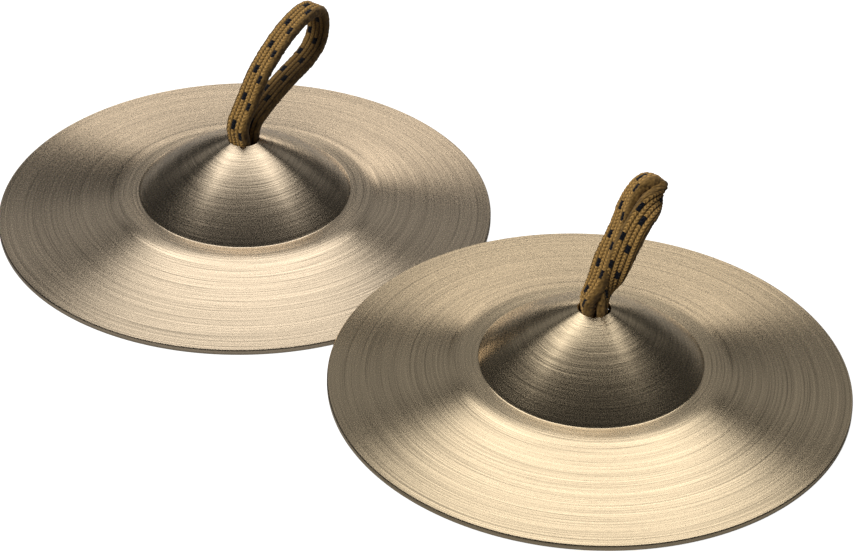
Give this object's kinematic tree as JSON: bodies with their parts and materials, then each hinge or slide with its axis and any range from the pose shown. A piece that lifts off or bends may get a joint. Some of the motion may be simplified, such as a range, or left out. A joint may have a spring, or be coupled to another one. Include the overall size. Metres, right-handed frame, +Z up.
{
  "type": "hand cymbals",
  "caption": "Small bronze hand cymbals with a raised bell on each plate and a finger loop of ribbed braided elastic, one plate leaning on the other.",
  "frame": {"origin": "on the table, midway between the two outer rims", "axes": "+X from the flat plate to the leaning one, +Y across the pair, +Z up"},
  "size_m": [0.1224, 0.064, 0.0313],
  "materials": {
    "bronze": "turned, fine concentric tool lines, satin",
    "braided_elastic": "ribbed braid, old gold with navy-black flecks"
  },
  "bodies": {
    "rear_plate": {"rear_cymbal": "bronze"},
    "rear_swivel": {"rear_strap_neck": "braided_elastic", "rear_strap_knot": "braided_elastic", "rear_strap_tail_a": "braided_elastic", "rear_strap_tail_b": "braided_elastic"},
    "rear_loop": {"rear_strap_loop": "braided_elastic"},
    "front_plate": {"front_cymbal": "bronze"},
    "front_swivel": {"front_strap_neck": "braided_elastic", "front_strap_knot": "braided_elastic", "front_strap_tail_a": "braided_elastic", "front_strap_tail_b": "braided_elastic"},
    "front_loop": {"front_strap_loop": "braided_elastic"}
  },
  "joints": [
    {"name": "rear_strap_swivel", "type": "hinge", "parent": "rear_plate", "child": "rear_swivel", "pos_m": [-0.0292, 0, 0.01337], "axis": [0, 0, 1], "continuous": true},
    {"name": "rear_strap_lean", "type": "hinge", "parent": "rear_swivel", "child": "rear_loop", "pos_m": [-0.0292, 0, 0.01337], "axis": [0.9962, 0.0872, 0], "range_deg": [-38, 90], "stiffness_Nm_per_rad": 0.002},
    {"name": "front_lift", "type": "slide", "parent": "rear_plate", "child": "front_plate", "axis": [0, 0, 1], "range_m": [0, 0.06]},
    {"name": "front_strap_swivel", "type": "hinge", "parent": "front_plate", "child": "front_swivel", "pos_m": [0.02954, 0, 0.01417], "axis": [0.025, 0, 0.9997], "continuous": true},
    {"name": "front_strap_lean", "type": "hinge", "parent": "front_swivel", "child": "front_loop", "pos_m": [0.02954, 0, 0.01417], "axis": [0.8478, -0.5299, -0.0212], "range_deg": [-66, 90], "stiffness_Nm_per_rad": 0.002}
  ]
}
